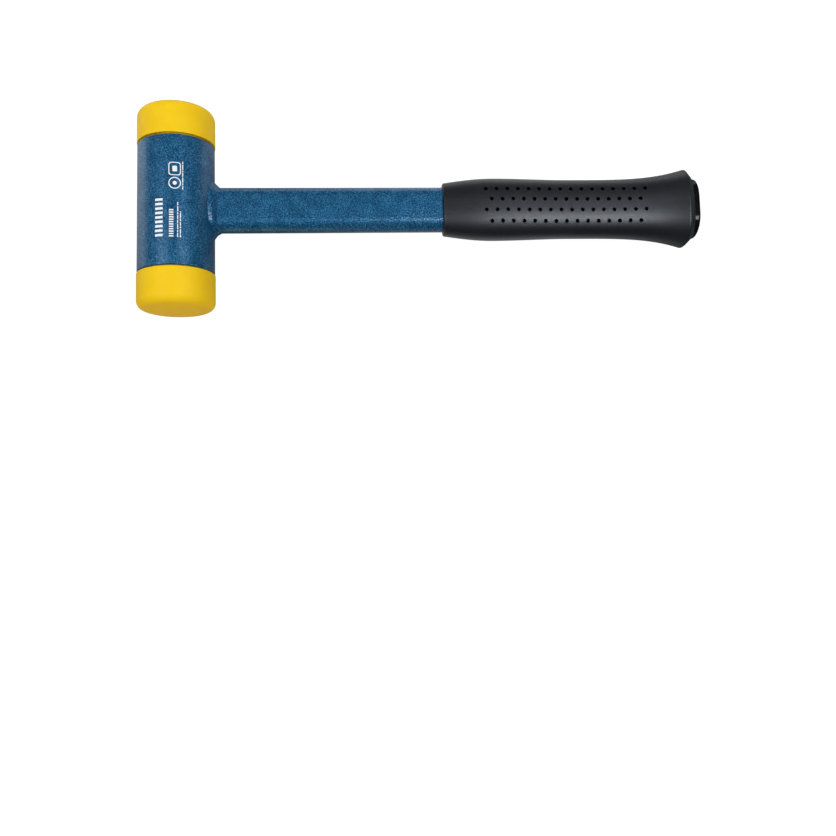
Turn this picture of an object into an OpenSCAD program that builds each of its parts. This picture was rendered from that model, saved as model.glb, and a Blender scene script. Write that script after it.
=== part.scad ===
// Dead blow mallet: a steel head tube with a loose shot charge between two plates, a pressed-in
// striking face at each end, a flat-sided oval steel handle tube welded to the head, a moulded
// grip and its end cap. Millimetres. +X runs from the head to the grip, +Y along the head and
// +Z up, with the mallet lying on its side and the origin at the middle of its footprint.

/* [Head] */
// Outside diameter of the steel head tube
head_d = 50; // [40:0.5:60]
// Length of the steel head tube
head_len = 86; // [72:1:120]
// Wall of the head tube around the shot chamber
head_wall = 3; // [2:0.25:4.5]
// Radial step between the chamber and the wider socket at each end
socket_step = 0.8; // [0.4:0.1:1.2]
// Length of the chamfer on the outside edge of each tube end
head_chamfer_len = 1.4; // [0.5:0.1:3]
// Radial depth of that chamfer
head_chamfer_depth = 0.5; // [0.2:0.1:0.9]

/* [Partition plates] */
// Thickness of each plate that closes the shot chamber
plate_t = 3; // [1.5:0.5:5]
// Radial clearance of a plate in its socket
plate_fit = 0.05; // [0.02:0.01:0.2]
// Diameter of the shallow dish on a plate's outer side
dish_d = 24; // [12:1:32]
// Depth of that dish
dish_depth = 1; // [0.4:0.1:1.2]

/* [Striking faces] */
// Length of a striking face outside the head tube, crown included
face_len = 25.2; // [18:0.2:36]
// How far a face stands out round the tube, on the radius
face_proud = 0.3; // [0:0.1:1.5]
// Radius of the rounded corner round a face
face_corner_r = 5.3; // [3:0.1:8]
// Radius of the domed striking surface
crown_r = 135; // [90:5:300]
// Diameter of the flat land in the middle of the dome
land_d = 10; // [6:0.5:14]
// Gap left at the seam between a face and the tube end
seam_gap = 0.2; // [0.1:0.05:0.6]
// Length of the stem that is pressed into the head tube
stem_len = 13.8; // [8:0.2:20]
// Radial clearance over the stem's ribs
stem_fit = 0.03; // [0.01:0.01:0.1]
// Depth of the grooves between the stem's ribs
rib_depth = 0.8; // [0.4:0.1:1.2]
// Number of grooves on a stem
groove_count = 3; // [2:1:4]

/* [Shot] */
// Diameter of a shot ball
ball_d = 6; // [4:0.25:7]
// Least gap between neighbouring balls
ball_gap = 0.15; // [0.1:0.05:0.4]
// Least gap from the balls to the chamber's walls and plates
charge_gap = 0.3; // [0.2:0.05:0.6]

/* [Handle tube] */
// Width across the rounded edges of the handle tube
shaft_w = 30.5; // [24:0.5:38]
// Thickness across its flat sides
shaft_t = 15.5; // [12:0.5:20]
// Wall of the handle tube
shaft_wall = 2; // [1.5:0.25:3]
// Length of tube showing between the head and the grip
shaft_show = 151.5; // [110:0.5:200]
// Root gap under the weld, between the tube's end and the head
root_gap = 0.2; // [0.1:0.05:0.5]
// Leg length of the weld bead
weld_leg = 4.2; // [2.5:0.1:5.5]
// How far the bead bulges beyond a flat fillet
weld_bulge = 0.55; // [0.2:0.05:1]

/* [Grip] */
// Length of the grip sleeve
grip_len = 169.6; // [130:0.2:200]
// Clearance of the grip round the handle tube
grip_fit = 0.05; // [0.02:0.01:0.2]
// Grip wall at the front lip
lip_wall = 2.6; // [2:0.1:4]
// Radius of the front lip
lip_r = 1.3; // [0.8:0.1:1.8]
// Distance from the front lip to the thickest part of the front bulge
bulge_at = 34; // [24:1:44]
// Grip wall at the bulge, on the rounded edges
bulge_wall = 5.6; // [4:0.1:8]
// Grip wall at the bulge, on the flat sides
bulge_flat_wall = 4.8; // [4:0.1:8]
// Distance from the front lip to the waist
waist_at = 86; // [64:1:100]
// Grip wall at the waist, on the rounded edges
waist_wall = 4.6; // [3.5:0.1:7]
// Grip wall at the waist, on the flat sides
waist_flat_wall = 3.9; // [3:0.1:7]
// Grip wall at the rear rim, on the rounded edges
rim_wall = 11.1; // [9:0.1:14]
// Grip wall at the rear rim, on the flat sides
rim_flat_wall = 11; // [9:0.1:14]
// Size of the 45 degree bevel behind the rim
rim_bevel = 4.5; // [3:0.1:5]

/* [End cap] */
// Margin between the end cap's flat sides and the edge of the grip's end
cap_margin = 1.3; // [0.8:0.1:2]
// Clearance round the end cap in its recess
cap_fit = 0.15; // [0.05:0.05:0.4]
// Depth of the recess that the end cap sits in
cap_recess = 2.5; // [1.5:0.1:4]
// How far the end cap stands out behind the grip
cap_proud = 5; // [3:0.1:7]
// Radius round the end cap's outer edge
cap_edge_r = 1.6; // [0.8:0.1:2.5]
// Radius of the crown on the end cap
cap_crown_r = 90; // [50:5:200]
// Length of the plug that goes into the handle tube
plug_len = 14; // [8:0.5:24]
// Wall of the hollow plug
plug_wall = 1.8; // [1.2:0.1:2.5]
// Clearance of the plug in the handle tube
plug_fit = 0.1; // [0.05:0.05:0.3]

/* [Hidden] */
$fn = 96;
eps = 0.01;                                   // overshoot of a cut past a face
crown_sides = 720;                            // enough for a smooth dome of long radius
ball_sides = 32;

// Head
head_r = head_d / 2;
chamber_r = head_r - head_wall;
socket_r = chamber_r + socket_step;
socket_len = plate_t + plate_fit + stem_len;
chamber_len = head_len - 2 * socket_len;
face_r = head_r + face_proud;
face_start = head_len / 2 + seam_gap;
face_end = face_start + face_len;

// Crown: the corner arc touches both the side of the face and the dome
land_sink = crown_r - sqrt(pow(crown_r, 2) - pow(land_d / 2, 2));
dome_centre = face_end + land_sink - crown_r;
corner_x = face_r - face_corner_r;
corner_y = dome_centre + sqrt(pow(crown_r - face_corner_r, 2) - pow(corner_x, 2));
tangent_x = crown_r * corner_x / (crown_r - face_corner_r);
seam_edge = 0.4;                              // chamfer on the face's edge beside the seam

// Handle
shaft_off = (shaft_w - shaft_t) / 2;          // from the axis to the centre of a rounded edge
shaft_r = shaft_t / 2;
grip_start = head_r + shaft_show;
grip_end = grip_start + grip_len;
bulge_x = grip_start + bulge_at;
waist_x = grip_start + waist_at;
rim_x = grip_end - rim_bevel;
tube_end_gap = 1;                             // the tube stops just short of the cap
shaft_end = grip_end - cap_recess - tube_end_gap;
cap_r = shaft_r + rim_flat_wall - rim_bevel - cap_margin;
cap_end = grip_end + cap_proud;
cap_dome = cap_end - cap_crown_r;
cap_corner_x = cap_r - cap_edge_r;
cap_corner_y = cap_dome + sqrt(pow(cap_crown_r - cap_edge_r, 2) - pow(cap_corner_x, 2));
cap_tangent_x = cap_crown_r * cap_corner_x / (cap_crown_r - cap_edge_r);

// Grip
flare_power = 3.7;                            // how late the grip flares towards its rim
squareness = 2.6;                             // exponent of the grip's superellipse section
ring_sides = 48;
lip_rings = 3;
bulge_rings = 6;
waist_rings = 6;
flare_rings = 12;

// Origin: middle of the footprint, at the height of the lowest line of the head
middle_x = (cap_end - face_r) / 2;

// Shot
pitch = ball_d + ball_gap;
layer_step = pitch * sqrt(2 / 3);
row_step = pitch * sqrt(3) / 2;
ball_reach = chamber_r - ball_d / 2 - charge_gap;
rows = ceil(ball_reach / row_step);
columns = ceil(ball_reach / pitch + rows / 2);

function smooth(t) = (1 - cos(180 * t)) / 2;
function mix(a, b, t) = a + (b - a) * t;
function steps(n) = [for (i = [1 : n]) i / n];
function signed_power(v, p) = sign(v) * pow(abs(v), p);

// One ring of the grip: distance along the handle, wall on the edges and wall on the flats
function ring(x, edge_wall, flat_wall) =
    let (w = shaft_w / 2 + edge_wall, t = shaft_r + flat_wall)
    [for (i = [0 : ring_sides - 1])
        let (a = 360 * i / ring_sides)
        [x, w * signed_power(cos(a), 2 / squareness), t * signed_power(sin(a), 2 / squareness)]];

function lip_ring(a) =
    let (wall = lip_wall - lip_r * (1 - cos(a)))
    ring(grip_start + lip_r * (1 - sin(a)), wall, wall);

function grip_rings() = [
    for (i = [0 : lip_rings]) lip_ring(90 * (1 - i / lip_rings)),
    for (t = steps(bulge_rings)) ring(
        mix(grip_start + lip_r, bulge_x, t),
        mix(lip_wall, bulge_wall, sin(90 * t)),
        mix(lip_wall, bulge_flat_wall, sin(90 * t))),
    for (t = steps(waist_rings)) ring(
        mix(bulge_x, waist_x, t),
        mix(bulge_wall, waist_wall, smooth(t)),
        mix(bulge_flat_wall, waist_flat_wall, smooth(t))),
    for (t = steps(flare_rings)) ring(
        mix(waist_x, rim_x, t),
        mix(waist_wall, rim_wall, pow(t, flare_power)),
        mix(waist_flat_wall, rim_flat_wall, pow(t, flare_power))),
    ring(grip_end, rim_wall - rim_bevel, rim_flat_wall - rim_bevel)
];

// Closed skin through a list of rings with equal numbers of points
module loft(rings) {
    k = len(rings[0]);
    last = len(rings) - 1;
    points = [for (r = rings) each r];
    sides = [for (j = [0 : last - 1], i = [0 : k - 1])
        let (n = (i + 1) % k)
        each [[j * k + i, (j + 1) * k + i, j * k + n], [j * k + n, (j + 1) * k + i, (j + 1) * k + n]]];
    first_cap = [for (i = [0 : k - 1]) i];
    last_cap = [for (i = [0 : k - 1]) last * k + k - 1 - i];
    polyhedron(points, concat(sides, [first_cap, last_cap]));
}

// Everything is drawn about the centre of the head, then set down on the bench
module on_bench() {
    translate([-middle_x, 0, face_r]) children();
}

// Turns a shape drawn along Z so that it runs along Y
module along_head() {
    rotate([-90, 0, 0]) children();
}

// Flat-sided oval with rounded edges of radius r, drawn in Y and Z and pushed along X
module oval_bar(x0, x1, r) {
    translate([x0, 0, 0])
        rotate([90, 0, 90])
            linear_extrude(x1 - x0) {
                square([2 * shaft_off, 2 * r], center = true);
                translate([-shaft_off, 0]) circle(r);
                translate([shaft_off, 0]) circle(r);
            }
}

module head_tube() {
    color("#265A86")
        along_head()
            rotate_extrude()
                polygon([
                    [chamber_r, -chamber_len / 2],
                    [socket_r, -chamber_len / 2],
                    [socket_r, -head_len / 2],
                    [head_r - head_chamfer_depth, -head_len / 2],
                    [head_r, -head_len / 2 + head_chamfer_len],
                    [head_r, head_len / 2 - head_chamfer_len],
                    [head_r - head_chamfer_depth, head_len / 2],
                    [socket_r, head_len / 2],
                    [socket_r, chamber_len / 2],
                    [chamber_r, chamber_len / 2]
                ]);
}

// Steel disc that closes the +Y end of the chamber, dished on its outer side
module partition_plate() {
    color("#8D9196")
        along_head()
            translate([0, 0, chamber_len / 2])
                difference() {
                    cylinder(h = plate_t, r = socket_r - plate_fit);
                    translate([0, 0, plate_t - dish_depth]) cylinder(h = dish_depth + eps, d = dish_d);
                }
}

// Half outline of the part of a face outside the tube
module face_outline() {
    intersection() {
        translate([0, dome_centre]) circle(crown_r, $fn = crown_sides);
        translate([0, face_start]) square([tangent_x, face_len]);
    }
    translate([0, face_start + seam_edge]) square([face_r, corner_y - face_start - seam_edge]);
    translate([0, face_start]) square([face_r - seam_edge, seam_edge]);
    translate([corner_x, corner_y]) circle(face_corner_r);
}

// Urethane face for the +Y end, with the ribbed stem that holds it in the tube
module striking_face() {
    stem_r = socket_r - stem_fit;
    rib_pitch = stem_len / (groove_count + 1);
    groove_floor = rib_pitch / 8;             // half widths of a groove
    groove_mouth = rib_pitch / 3;
    color("#F0CB28")
        along_head() {
            rotate_extrude() face_outline();
            difference() {
                translate([0, 0, face_start - seam_gap - stem_len])
                    cylinder(h = stem_len + seam_gap, r = stem_r);
                for (i = [1 : groove_count])
                    translate([0, 0, face_start - seam_gap - stem_len + i * rib_pitch])
                        rotate_extrude()
                            polygon([
                                [stem_r - rib_depth, -groove_floor],
                                [stem_r + eps, -groove_mouth],
                                [stem_r + eps, groove_mouth],
                                [stem_r - rib_depth, groove_floor]
                            ]);
            }
        }
}

// One layer of close-packed shot; odd and even layers nest into each other
module shot_layer(number) {
    nest = number % 2;
    y = -chamber_len / 2 + charge_gap + ball_d / 2 + (number - 1) * layer_step;
    color("#A9ADB1")
        for (row = [-rows : rows], column = [-columns : columns]) {
            x = (column + row / 2 + nest / 2) * pitch;
            z = (row + nest / 3) * row_step;
            if (norm([x, z]) <= ball_reach)
                translate([x, y, z]) sphere(d = ball_d, $fn = ball_sides);
        }
}

module handle_tube() {
    color("#2B628E")
        difference() {
            oval_bar(0, shaft_end, shaft_r);
            oval_bar(-eps, shaft_end + eps, shaft_r - shaft_wall);
            along_head() cylinder(h = 2 * shaft_w, r = head_r + root_gap, center = true);
        }
}

// Outline of the handle tube as [y, z, outward y, outward z], rounded edge by rounded edge
bead_turns = 12;
bead_path = [for (side = [0, 1], i = [0 : bead_turns])
    let (a = 180 * side - 90 + 180 * i / bead_turns)
    [(side == 0 ? shaft_off : -shaft_off) + shaft_r * cos(a), shaft_r * sin(a), cos(a), sin(a)]];

// Section of the bead as [distance out from the tube, height over the head]: root, heel, toe
bead_root = 1;                                // how far the raw bead reaches into the steel
bead_nib = 0.15;                              // its heel and toe start this far inside the steel
bead_arc = 5;
function bead_section() = [
    [-bead_root, -bead_root],
    [-bead_root, weld_leg],
    for (i = [0 : bead_arc])
        let (t = i / bead_arc, out = weld_bulge * sin(180 * t) * sqrt(2) / 2)
        [mix(-bead_nib, weld_leg, t) + out, mix(weld_leg, -bead_nib, t) + out],
    [weld_leg, -bead_root]
];
function over_head(z) = sqrt(pow(head_r, 2) - pow(z, 2));
function bead_ring(p) = [for (s = bead_section())
    let (y = p[0] + s[0] * p[2], z = p[1] + s[0] * p[3])
    [over_head(z) + s[1], y, z]];

// Fillet weld that runs all the way round the handle tube on the head
module handle_weld() {
    rings = [for (p = bead_path) bead_ring(p)];
    k = len(rings[0]);
    count = len(rings);
    points = [for (r = rings) each r];
    faces = [for (j = [0 : count - 1], i = [0 : k - 1])
        let (n = (i + 1) % k, m = (j + 1) % count)
        each [[j * k + i, m * k + i, j * k + n], [j * k + n, m * k + i, m * k + n]]];
    color("#3A6C96")
        difference() {
            polyhedron(points, faces);
            along_head() cylinder(h = 2 * shaft_w, r = head_r, center = true);
            oval_bar(0, 2 * head_r, shaft_r);
        }
}

module grip_sleeve() {
    color("#2D3034")
        difference() {
            loft(grip_rings());
            oval_bar(grip_start - eps, grip_end + eps, shaft_r + grip_fit);
            oval_bar(grip_end - cap_recess, grip_end + eps, cap_r + cap_fit);
        }
}

// Half outline of the end cap: crowned disc with a rounded outer edge, radius in X, length in Y
module cap_outline(start) {
    intersection() {
        translate([0, cap_dome]) circle(cap_crown_r, $fn = crown_sides);
        translate([0, start]) square([cap_tangent_x, cap_end - start]);
    }
    translate([0, start]) square([cap_r, cap_corner_y - start]);
    translate([cap_corner_x, cap_corner_y]) circle(cap_edge_r);
}

module end_cap() {
    start = grip_end - cap_recess;
    plug_r = shaft_r - shaft_wall - plug_fit;
    color("#17181A") {
        for (side = [-1, 1])
            translate([0, side * shaft_off, 0]) rotate([0, 90, 0]) rotate_extrude() cap_outline(start);
        translate([0, shaft_off, 0])
            rotate([90, 0, 0])
                linear_extrude(2 * shaft_off) {
                    rotate(-90) cap_outline(start);
                    rotate(-90) mirror([1, 0]) cap_outline(start);
                }
        difference() {
            oval_bar(start - plug_len, start, plug_r);
            oval_bar(start - plug_len - eps, start - plug_wall, plug_r - plug_wall);
        }
    }
}

on_bench() head_tube();
on_bench() partition_plate();  // partition_plate_a
on_bench() mirror([0, 1, 0]) partition_plate();  // partition_plate_b
on_bench() striking_face();  // striking_face_a
on_bench() mirror([0, 1, 0]) striking_face();  // striking_face_b
on_bench() shot_layer(1);  // shot_layer_1
on_bench() shot_layer(2);  // shot_layer_2
on_bench() shot_layer(3);  // shot_layer_3
on_bench() shot_layer(4);  // shot_layer_4
on_bench() shot_layer(5);  // shot_layer_5
on_bench() shot_layer(6);  // shot_layer_6
on_bench() shot_layer(7);  // shot_layer_7
on_bench() handle_tube();
on_bench() handle_weld();
on_bench() grip_sleeve();
on_bench() end_cap();
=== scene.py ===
"""Looks of a dead blow mallet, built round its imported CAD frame.

The head tube, striking faces, handle tube, weld, grip and end cap are remade as fine meshes in the
places that their CAD nodes hold. The plates and the shot, sealed inside, keep their CAD meshes.
Lengths are in metres, in the CAD model's frame: +X from head to grip, +Y along the head, +Z up.
"""

import logging
import math
from dataclasses import dataclass, field
from enum import Enum
from typing import Callable, Sequence

import bmesh
import bpy
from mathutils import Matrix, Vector


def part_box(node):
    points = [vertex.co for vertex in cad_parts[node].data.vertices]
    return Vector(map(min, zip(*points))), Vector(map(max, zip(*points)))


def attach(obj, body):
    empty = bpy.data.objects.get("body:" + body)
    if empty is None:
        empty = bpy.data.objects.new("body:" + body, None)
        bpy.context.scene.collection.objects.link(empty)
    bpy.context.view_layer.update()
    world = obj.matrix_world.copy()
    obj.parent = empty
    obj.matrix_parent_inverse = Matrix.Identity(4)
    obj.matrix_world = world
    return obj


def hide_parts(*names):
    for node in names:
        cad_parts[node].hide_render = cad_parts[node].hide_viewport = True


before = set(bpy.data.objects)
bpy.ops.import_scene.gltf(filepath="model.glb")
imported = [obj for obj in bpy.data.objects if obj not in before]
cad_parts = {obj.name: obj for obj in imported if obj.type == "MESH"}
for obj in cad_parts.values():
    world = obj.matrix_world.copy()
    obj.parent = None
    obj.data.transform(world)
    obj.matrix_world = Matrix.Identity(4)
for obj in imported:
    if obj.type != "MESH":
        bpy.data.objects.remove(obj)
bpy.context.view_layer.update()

log = logging.getLogger("mallet")

MM = 0.001
FULL_TURN = 2 * math.pi

MALLET_BODY = "mallet"

Point = tuple[float, float, float]
Pair = tuple[float, float]
Colour = tuple[float, float, float, float]
Node = bpy.types.Node
Socket = str | int


class Slot(Enum):
    """The record's material slots."""

    ENAMEL = "hammertone_enamel"
    PLATE = "plate_steel"
    SHOT = "shot_steel"
    URETHANE = "face_urethane"
    VINYL = "grip_vinyl"
    CAP = "cap_plastic"


def mix(a: float, b: float, t: float) -> float:
    """Returns the value a share t of the way from a to b."""
    return a + (b - a) * t


def smooth(t: float) -> float:
    """Returns t eased in and out, from 0 to 1."""
    return (1 - math.cos(math.pi * t)) / 2


def spaced(start: float, end: float, count: int) -> list[float]:
    """Returns count + 1 even steps from start to end."""
    return [mix(start, end, i / count) for i in range(count + 1)]


# Meshes


@dataclass
class Skin:
    """Points and faces of a surface while it is being built."""

    points: list[Point] = field(default_factory=list)
    faces: list[tuple[int, ...]] = field(default_factory=list)

    def ring(self, points: Sequence[Point]) -> list[int]:
        """Adds points and returns their numbers."""
        first = len(self.points)
        self.points.extend(points)
        return list(range(first, first + len(points)))

    def strip(self, a: Sequence[int], b: Sequence[int], closed: bool = True) -> None:
        """Joins two runs of equal length with four-sided faces.

        Args:
            a: Numbers of the points on one side.
            b: Numbers of the points on the other side.
            closed: Whether the last points join the first.
        """
        count = len(a)
        for i in range(count if closed else count - 1):
            j = (i + 1) % count
            self.faces.append((a[i], a[j], b[j], b[i]))

    def fan(self, rim: Sequence[int], centre: Point) -> None:
        """Closes a rim with triangles that meet at a centre point."""
        (hub,) = self.ring([centre])
        for i, start in enumerate(rim):
            self.faces.append((start, rim[(i + 1) % len(rim)], hub))

    def make(self, name: str, crease: float = 32.0) -> bpy.types.Object:
        """Turns the skin into a smooth-shaded object.

        Args:
            name: The piece's name.
            crease: Edges that turn by more than this angle, in degrees, stay sharp.

        Returns:
            The new object, linked to the scene.
        """
        mesh = bpy.data.meshes.new(name)
        mesh.from_pydata(self.points, [], self.faces)
        work = bmesh.new()
        work.from_mesh(mesh)
        bmesh.ops.remove_doubles(work, verts=work.verts, dist=1e-7)
        bmesh.ops.delete(work, geom=[v for v in work.verts if not v.link_faces], context="VERTS")
        bmesh.ops.recalc_face_normals(work, faces=work.faces)
        work.to_mesh(mesh)
        work.free()
        mesh.polygons.foreach_set("use_smooth", [True] * len(mesh.polygons))
        mesh.set_sharp_from_angle(angle=math.radians(crease))
        piece = bpy.data.objects.new(name, mesh)
        bpy.context.scene.collection.objects.link(piece)
        return piece


def arc(centre: Pair, radius: float, start: float, end: float, count: int) -> list[Pair]:
    """Returns count + 1 points along an arc.

    Args:
        centre: The arc's centre.
        radius: Its radius.
        start: Angle of the first point, in degrees.
        end: Angle of the last point, in degrees.
        count: Number of steps.

    Returns:
        The points, first to last.
    """
    return [
        (centre[0] + radius * math.cos(a), centre[1] + radius * math.sin(a))
        for a in spaced(math.radians(start), math.radians(end), count)
    ]


def lathe(outline: Sequence[Pair], axis: Vector, side: float, name: str, turns: int = 144) -> bpy.types.Object:
    """Spins an outline round a line along Y.

    Args:
        outline: Closed run of (radius, distance along Y) pairs, or one whose ends are on the axis.
        axis: A point on the line.
        side: 1 to build towards +Y, -1 to mirror towards -Y.
        name: The piece's name.
        turns: Number of steps round the axis.

    Returns:
        The new object.
    """
    skin = Skin()
    on_axis = outline[0][0] < 1e-9
    rings = []
    for radius, along in outline[1:-1] if on_axis else outline:
        rings.append(skin.ring([
            (axis.x + radius * math.sin(a), axis.y + side * along, axis.z + radius * math.cos(a))
            for a in (FULL_TURN * i / turns for i in range(turns))
        ]))
    for a, b in zip(rings, rings[1:]):
        skin.strip(a, b)
    if on_axis:
        skin.fan(rings[0], (axis.x, axis.y + side * outline[0][1], axis.z))
        skin.fan(rings[-1], (axis.x, axis.y + side * outline[-1][1], axis.z))
    else:
        skin.strip(rings[-1], rings[0])
    return skin.make(name)


@dataclass(frozen=True)
class Oval:
    """Flat-sided oval with rounded edges: two half circles joined by flats along Y."""

    offset: float
    radius: float
    edge_steps: int = 24
    flat_steps: int = 8

    def outline(self) -> list[tuple[float, float, float, float]]:
        """Returns the outline as (y, z, outward y, outward z), once round."""
        run = []
        for side in (1, -1):
            for i in range(self.edge_steps + 1):
                a = math.radians(-90 + 180 * i / self.edge_steps) + (0 if side > 0 else math.pi)
                run.append((side * self.offset + self.radius * math.cos(a), self.radius * math.sin(a),
                            math.cos(a), math.sin(a)))
            for t in spaced(0, 1, self.flat_steps)[1:-1]:
                run.append((side * mix(self.offset, -self.offset, t), side * self.radius, 0.0, float(side)))
        return run

    def grown(self, amount: float) -> "Oval":
        """Returns the oval offset outwards by an amount."""
        return Oval(self.offset, self.radius + amount, self.edge_steps, self.flat_steps)

    def point(self, axis: Vector, x: float, angle: float) -> Point:
        """Returns the point where a ray from the axis meets the oval.

        Args:
            axis: A point on the oval's axis.
            x: Place along the axis.
            angle: The ray's direction, from +Y towards +Z.

        Returns:
            The point.
        """
        c, s = math.cos(angle), math.sin(angle)
        if abs(c) * self.radius <= self.offset * abs(s):
            reach = self.radius / abs(s)
        else:
            reach = self.offset * abs(c) + math.sqrt(max(0.0, self.radius**2 - (self.offset * s) ** 2))
        return (x, axis.y + reach * c, axis.z + reach * s)


# Finishes


class Paints:
    """Small helpers that wire up a material's nodes."""

    def __init__(self, name: str) -> None:
        """Starts a material with a bare Principled shader."""
        self.material = bpy.data.materials.new(name)
        self.material.use_nodes = True
        self.tree = self.material.node_tree
        self.tree.nodes.clear()
        self.out = self.tree.nodes.new("ShaderNodeOutputMaterial")
        self.shader = self.tree.nodes.new("ShaderNodeBsdfPrincipled")
        self.join(self.shader, "BSDF", self.out, "Surface")
        self.place = self.tree.nodes.new("ShaderNodeTexCoord")

    def add(self, kind: str, **settings: object) -> Node:
        """Adds a node and sets its attributes."""
        node = self.tree.nodes.new(kind)
        for key, value in settings.items():
            setattr(node, key, value)
        return node

    def join(self, a: Node, a_socket: Socket, b: Node, b_socket: Socket) -> None:
        """Links an output of one node to an input of another."""
        self.tree.links.new(a.outputs[a_socket], b.inputs[b_socket])

    def noise(self, per_mm: float, detail: float = 2.0, roughness: float = 0.5) -> Node:
        """Adds a noise texture with a given number of features to the millimetre."""
        node = self.add("ShaderNodeTexNoise")
        node.inputs["Scale"].default_value = per_mm / MM
        node.inputs["Detail"].default_value = detail
        node.inputs["Roughness"].default_value = roughness
        self.join(self.place, "Object", node, "Vector")
        return node

    def ramp(self, source: Node, socket: Socket, stops: Sequence[tuple[float, Colour]]) -> Node:
        """Adds a colour ramp fed by a socket.

        Args:
            source: Node whose output drives the ramp.
            socket: Name of that output.
            stops: Positions and colours.

        Returns:
            The ramp node.
        """
        node = self.add("ShaderNodeValToRGB")
        band = node.color_ramp
        while len(band.elements) < len(stops):
            band.elements.new(0.5)
        for element, (position, colour) in zip(band.elements, stops):
            element.position = position
            element.color = colour
        self.join(source, socket, node, "Fac")
        return node

    def span(self, source: Node, socket: Socket, low: float, high: float,
             start: float = 0.0, end: float = 1.0) -> Node:
        """Adds a map-range node that turns start..end into low..high.

        Args:
            source: Node whose output is mapped.
            socket: That output.
            low: Result at the start of the range.
            high: Result at its end.
            start: Start of the range.
            end: End of the range.

        Returns:
            The map-range node.
        """
        node = self.add("ShaderNodeMapRange")
        for key, value in (("From Min", start), ("From Max", end), ("To Min", low), ("To Max", high)):
            node.inputs[key].default_value = value
        self.join(source, socket, node, "Value")
        return node

    def sums(self, operation: str, a: tuple[Node, Socket], b: tuple[Node, Socket] | float) -> Node:
        """Adds a math node.

        Args:
            operation: What it does.
            a: A node and its output.
            b: Another node and its output, or a number.

        Returns:
            The math node.
        """
        node = self.add("ShaderNodeMath", operation=operation)
        self.join(*a, node, 0)
        if isinstance(b, tuple):
            self.join(*b, node, 1)
        else:
            node.inputs[1].default_value = b
        return node

    def bump(self, source: Node, socket: Socket, height_mm: float, strength: float = 1.0,
             under: Node | None = None) -> Node:
        """Adds a bump node.

        Args:
            source: Node with the height, from 0 to 1.
            socket: Its output.
            height_mm: Height of the relief in millimetres.
            strength: Strength of the effect.
            under: A bump that this one lies on.

        Returns:
            The bump node.
        """
        node = self.add("ShaderNodeBump")
        node.inputs["Strength"].default_value = strength
        node.inputs["Distance"].default_value = height_mm * MM
        self.join(source, socket, node, "Height")
        if under:
            self.join(under, "Normal", node, "Normal")
        return node

    def set(self, **values: float | Colour) -> None:
        """Sets plain values on the shader's own sockets, with _ for a space in a name."""
        for key, value in values.items():
            self.shader.inputs[key.replace("_", " ")].default_value = value


@dataclass(frozen=True)
class HammertoneEnamel:
    """Blue hammertone enamel: metal flake in rounded cells a millimetre across, under a clear gloss."""

    name: str = Slot.ENAMEL.value
    deep: Colour = (0.0020, 0.038, 0.100, 1)
    middle: Colour = (0.0060, 0.086, 0.200, 1)
    pale: Colour = (0.0480, 0.205, 0.370, 1)
    cells_per_mm: float = 0.95
    flakes_per_mm: float = 1.45
    clouds_per_mm: float = 0.12
    warp: float = 0.7 * MM
    relief_mm: float = 0.07
    grit: float = 1.3
    roughness: float = 0.42
    metal: float = 0.35
    gloss: float = 0.5
    gloss_roughness: float = 0.10
    cell_tone_and_shade_share: float = 0.35

    def material(self) -> bpy.types.Material:
        """Builds the material."""
        paint = Paints(self.name)
        warp = paint.noise(0.9, 2.0)
        shift = paint.add("ShaderNodeMixRGB", blend_type="LINEAR_LIGHT")
        shift.inputs["Fac"].default_value = self.warp
        paint.join(paint.place, "Object", shift, 1)
        paint.join(warp, "Color", shift, 2)
        cells = paint.add("ShaderNodeTexVoronoi", feature="SMOOTH_F1")
        cells.inputs["Scale"].default_value = self.cells_per_mm / MM
        cells.inputs["Smoothness"].default_value = 0.45
        paint.join(shift, 0, cells, "Vector")
        flakes = paint.noise(self.flakes_per_mm, 3.0, 0.7)
        clouds = paint.noise(self.clouds_per_mm, 2.0)
        self._blend(paint, cells, flakes, clouds)
        dome = paint.span(cells, "Distance", 1.0, 0.0, 0.0, 0.8)
        relief = paint.bump(dome, 0, self.relief_mm)
        grit = paint.bump(flakes, "Fac", self.relief_mm * self.grit, 1.0, relief)
        paint.join(grit, "Normal", paint.shader, "Normal")
        paint.join(grit, "Normal", paint.shader, "Coat Normal")
        shine = paint.span(flakes, "Fac", self.roughness - 0.08, self.roughness + 0.12, 0.3, 0.7)
        paint.join(shine, 0, paint.shader, "Roughness")
        paint.set(Metallic=self.metal, IOR=1.5, Specular_IOR_Level=0.1)
        paint.set(Coat_Weight=self.gloss, Coat_Roughness=self.gloss_roughness)
        return paint.material

    def _blend(self, paint: Paints, cells: Node, flakes: Node, clouds: Node) -> None:
        """Mixes the colour from the cells, the flakes and slow clouds, with painted shade darkening the
        crevices between the cells.
        """
        # Partly painted shade: the colour is paler on the cell tops and darker in the crevices between them,
        # on top of the flake's own tone.
        height = paint.span(cells, "Distance", 1.0, 0.0, 0.05, 0.75)
        fleck = paint.span(flakes, "Fac", 0.0, 1.0, 0.41, 0.59)
        cloud = paint.span(clouds, "Fac", -0.10, 0.10, 0.3, 0.7)
        level = paint.sums("MULTIPLY", (height, 0), self.cell_tone_and_shade_share)
        part = paint.sums("MULTIPLY", (fleck, 0), 1 - self.cell_tone_and_shade_share)
        level = paint.sums("ADD", (level, 0), (part, 0))
        level = paint.sums("ADD", (level, 0), (cloud, 0))
        colour = paint.ramp(level, "Value", ((0.15, self.deep), (0.52, self.middle), (0.88, self.pale)))
        paint.join(colour, "Color", paint.shader, "Base Color")


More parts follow.
